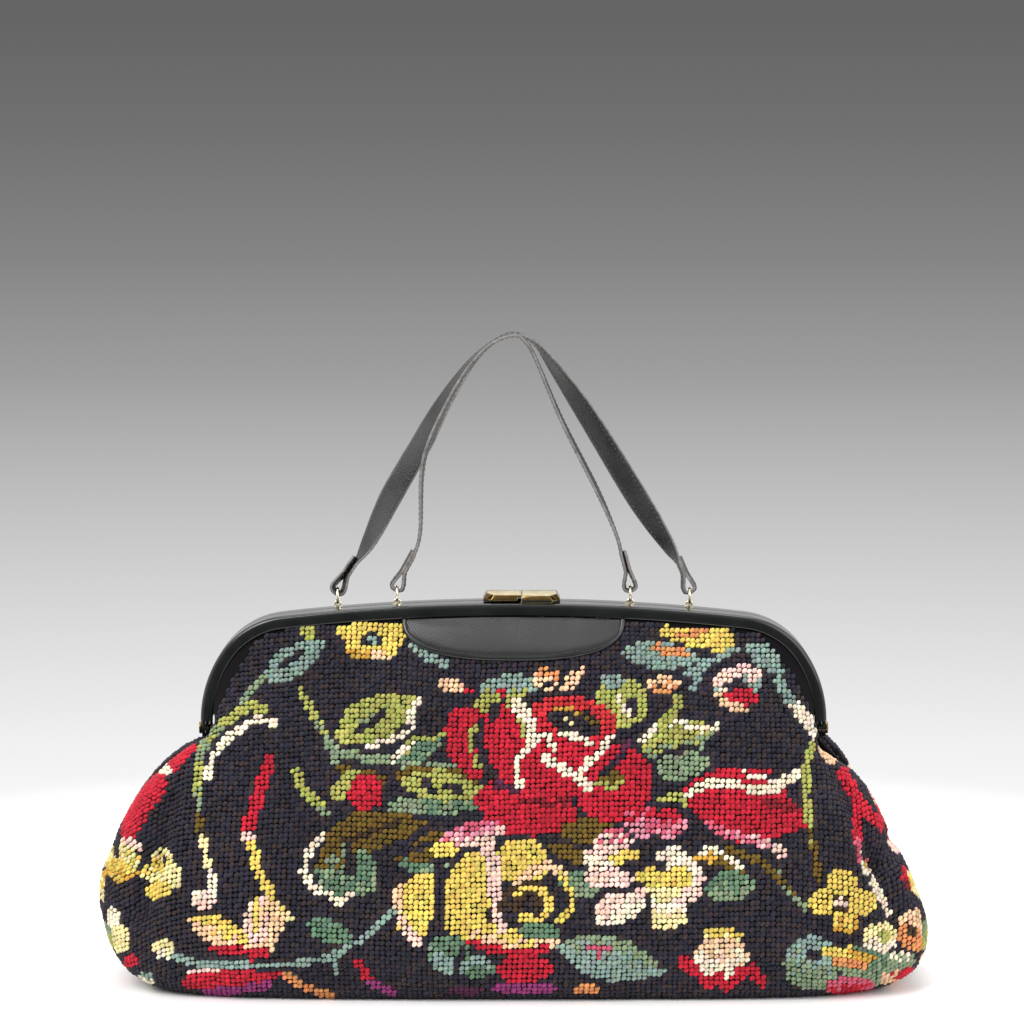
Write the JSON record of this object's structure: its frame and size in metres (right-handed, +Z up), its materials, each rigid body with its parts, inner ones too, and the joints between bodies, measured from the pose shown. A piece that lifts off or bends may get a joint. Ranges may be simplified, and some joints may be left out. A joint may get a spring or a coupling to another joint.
{
  "type": "carpet bag",
  "caption": "Needlepoint carpet bag on a hinged arched frame, with a crossover clasp, a half-moon leather patch and twin strap handles.",
  "frame": {"origin": "centre of the base, on the surface the bag stands on", "axes": "+X along the bag to the right seen from its front, +Y to its rear, +Z up"},
  "size_m": [0.4113, 0.124, 0.3248],
  "materials": {
    "needlepoint": "wool tent stitch on canvas, dark ground with a many-coloured floral design",
    "lining": "plain woven brown lining",
    "board": "stiff fibre board, hidden",
    "frame": "black covered metal, satin gloss",
    "leather": "black cross-grained leather, worn edges",
    "brass": "polished, slightly worn",
    "ring_metal": "pale gold plate, worn"
  },
  "bodies": {
    "bag": {"front_panel": "needlepoint", "rear_panel": "needlepoint", "left_gusset": "needlepoint", "right_gusset": "needlepoint", "base_panel": "needlepoint", "base_board": "board", "lining": "lining", "hinge_rivets": "brass"},
    "front_frame": {"front_frame": "frame", "front_throat": "needlepoint", "front_throat_lining": "lining", "half_moon_patch": "leather", "patch_piping": "leather", "front_clasp_plate": "brass", "front_ring_posts": "ring_metal"},
    "rear_frame": {"rear_frame": "frame", "rear_throat": "needlepoint", "rear_throat_lining": "lining", "rear_clasp_plate": "brass", "rear_ring_posts": "ring_metal"},
    "front_handle": {"front_strap": "leather", "front_rings": "ring_metal"},
    "rear_handle": {"rear_strap": "leather", "rear_rings": "ring_metal"}
  },
  "joints": [
    {"name": "front_frame_open", "type": "hinge", "parent": "bag", "child": "front_frame", "pos_m": [0, 0, 0.12688], "axis": [1, 0, 0], "range_deg": [0, 38]},
    {"name": "rear_frame_open", "type": "hinge", "parent": "bag", "child": "rear_frame", "pos_m": [0, 0, 0.12688], "axis": [-1, 0, 0], "range_deg": [0, 38]},
    {"name": "front_handle_swing", "type": "hinge", "parent": "front_frame", "child": "front_handle", "pos_m": [0, -0.0042, 0.19494], "axis": [1, 0, 0], "range_deg": [0, 95]},
    {"name": "rear_handle_swing", "type": "hinge", "parent": "rear_frame", "child": "rear_handle", "pos_m": [0, 0.0042, 0.19281], "axis": [-1, 0, 0], "range_deg": [0, 95]}
  ]
}
